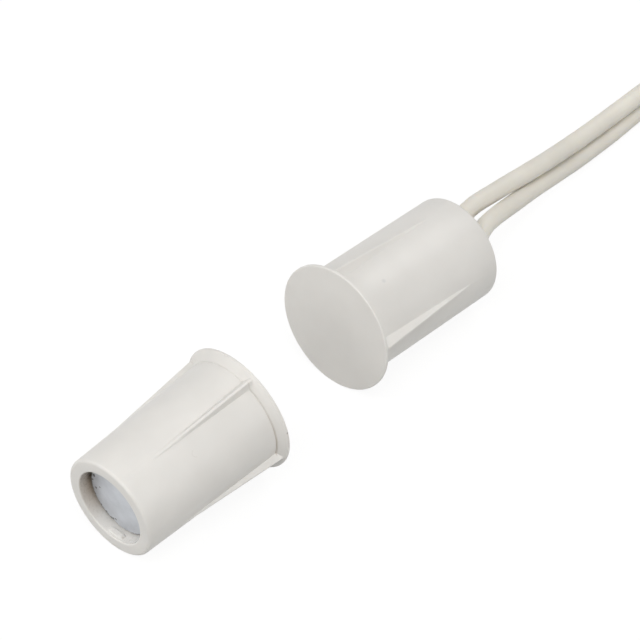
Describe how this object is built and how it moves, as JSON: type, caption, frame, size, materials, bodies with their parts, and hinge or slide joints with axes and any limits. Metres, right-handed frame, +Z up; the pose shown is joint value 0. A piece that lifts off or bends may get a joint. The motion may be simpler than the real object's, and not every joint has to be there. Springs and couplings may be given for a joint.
{
  "type": "recessed magnetic contact",
  "caption": "Stubby press-in door contact pair: a round flanged switch half with ribbed body and twin leads, and a matching magnet half.",
  "frame": {"origin": "on the table, under the middle of the pair of halves", "axes": "+X along the pair from the magnet half to the switch half and its leads, +Z up"},
  "size_m": [0.1054, 0.0122, 0.0115],
  "materials": {
    "housing_plastic": "satin off-white moulding",
    "lead_insulation": "smooth ivory insulation",
    "magnet_plating": "mottled grey plating",
    "potting_compound": "cast filler",
    "capsule_glass": "clear drawn glass",
    "reed_alloy": "plain nickel iron",
    "tinned_copper": "tinned",
    "splice_metal": "crimped sleeve",
    "tie_plastic": "plain black strap"
  },
  "bodies": {
    "root": {"switch_housing": "housing_plastic", "magnet_housing": "housing_plastic", "magnet": "magnet_plating", "potting": "potting_compound", "reed_capsule": "capsule_glass", "reed_blade_front": "reed_alloy", "reed_blade_rear": "reed_alloy", "splice_front": "splice_metal", "splice_rear": "splice_metal", "conductor_front": "tinned_copper", "conductor_rear": "tinned_copper", "lead_a": "lead_insulation", "lead_b": "lead_insulation", "lead_hank": "lead_insulation", "lead_tail_b": "lead_insulation", "lead_tip_a": "tinned_copper", "lead_tip_b": "tinned_copper", "hank_tie": "tie_plastic"}
  },
  "joints": []
}
